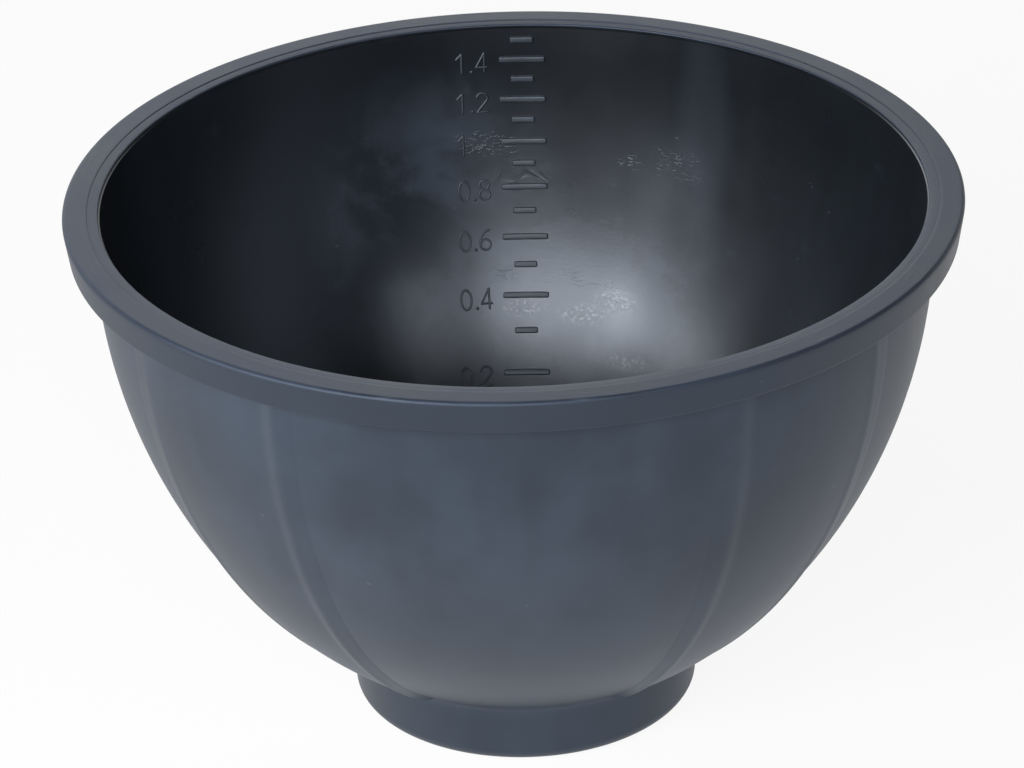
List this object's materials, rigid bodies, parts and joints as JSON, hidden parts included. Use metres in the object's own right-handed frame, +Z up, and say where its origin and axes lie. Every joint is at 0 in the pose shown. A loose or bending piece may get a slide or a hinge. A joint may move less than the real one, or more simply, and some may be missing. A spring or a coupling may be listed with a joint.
{
  "type": "plaster mixing bowl",
  "caption": "Deep flexible rubber mixing bowl with a flat-lipped rim band, raised wall pads, a ring foot and a raised litre scale inside, for mixing plaster.",
  "frame": {"origin": "centre of the foot's underside, on the surface that the bowl stands on", "axes": "+Z up along the bowl's axis, -Y to the front, with the litre scale inside the +Y wall"},
  "size_m": [0.184, 0.184, 0.1138],
  "materials": {
    "bowl_rubber": "satin dark slate-grey moulded rubber",
    "scale_rubber": "the same rubber, raised marks"
  },
  "bodies": {
    "root": {"bowl_shell": "bowl_rubber", "rim_band": "bowl_rubber", "ring_foot": "bowl_rubber", "wall_pad_1": "bowl_rubber", "wall_pad_2": "bowl_rubber", "wall_pad_3": "bowl_rubber", "wall_pad_4": "bowl_rubber", "scale_tick_0.2": "scale_rubber", "scale_tick_0.3": "scale_rubber", "scale_tick_0.4": "scale_rubber", "scale_tick_0.5": "scale_rubber", "scale_tick_0.6": "scale_rubber", "scale_tick_0.7": "scale_rubber", "scale_tick_0.8": "scale_rubber", "scale_tick_0.9": "scale_rubber", "scale_tick_1": "scale_rubber", "scale_tick_1.1": "scale_rubber", "scale_tick_1.2": "scale_rubber", "scale_tick_1.3": "scale_rubber", "scale_tick_1.4": "scale_rubber", "scale_tick_1.5": "scale_rubber", "number_0.2_units": "scale_rubber", "number_0.2_point": "scale_rubber", "number_0.2_tenths": "scale_rubber", "number_0.4_units": "scale_rubber", "number_0.4_point": "scale_rubber", "number_0.4_tenths": "scale_rubber", "number_0.6_units": "scale_rubber", "number_0.6_point": "scale_rubber", "number_0.6_tenths": "scale_rubber", "number_0.8_units": "scale_rubber", "number_0.8_point": "scale_rubber", "number_0.8_tenths": "scale_rubber", "number_1_units": "scale_rubber", "number_1.2_units": "scale_rubber", "number_1.2_point": "scale_rubber", "number_1.2_tenths": "scale_rubber", "number_1.4_units": "scale_rubber", "number_1.4_point": "scale_rubber", "number_1.4_tenths": "scale_rubber"}
  },
  "joints": []
}
